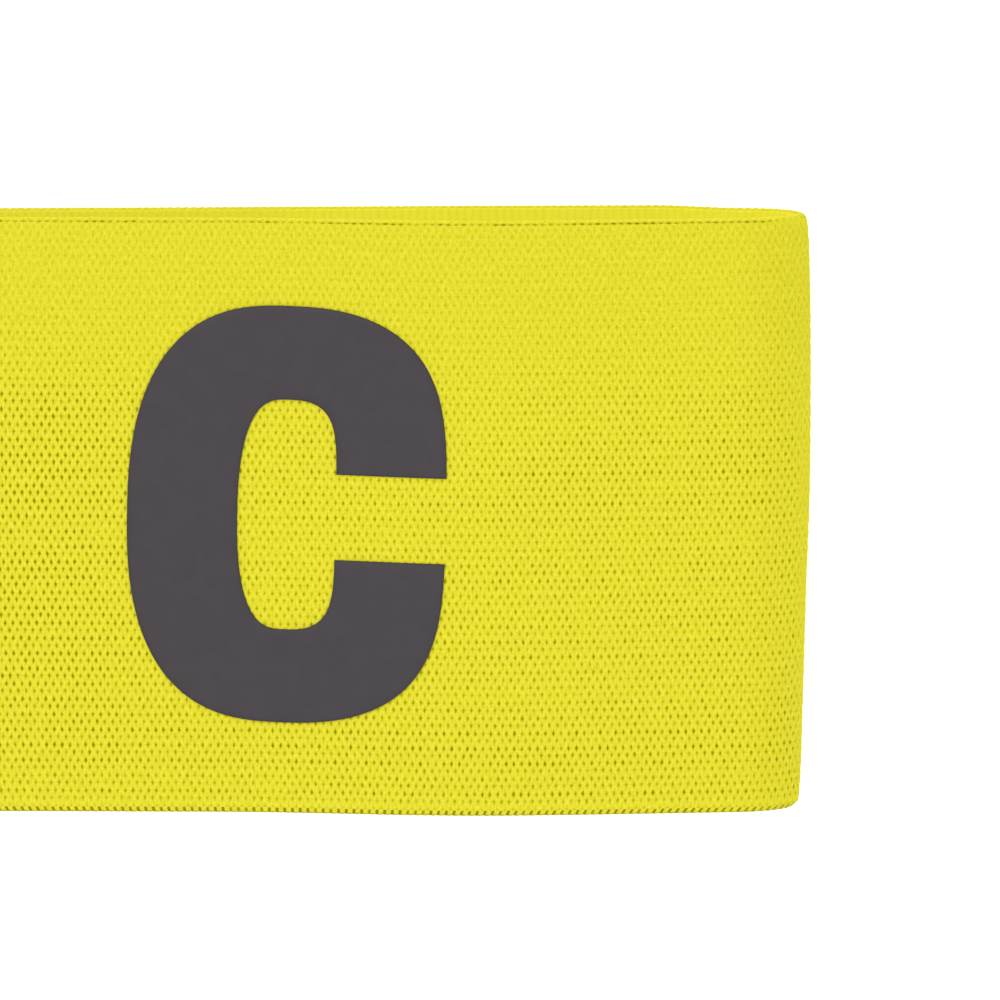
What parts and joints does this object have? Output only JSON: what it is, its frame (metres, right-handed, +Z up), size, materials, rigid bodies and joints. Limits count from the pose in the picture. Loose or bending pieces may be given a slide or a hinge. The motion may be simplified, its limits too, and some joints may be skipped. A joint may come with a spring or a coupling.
{
  "type": "captain armband",
  "caption": "Wide knitted elastic armband sewn into a loop, lying flattened, with a heat-pressed captain's letter on its front.",
  "frame": {"origin": "on the surface that the flattened loop lies on, under the middle of its box", "axes": "+X along the loop, to the right of the letter; +Y across the tape, towards the top of the letter; +Z up, out of the front layer"},
  "size_m": [0.13, 0.0754, 0.0135],
  "materials": {
    "elastic_tape": "bright yellow openwork knitted elastic, matt with a faint sheen on the yarn",
    "letter_film": "dark grey heat-transfer film, matt"
  },
  "bodies": {
    "root": {"elastic_loop": "elastic_tape", "letter_c": "letter_film"}
  },
  "joints": []
}
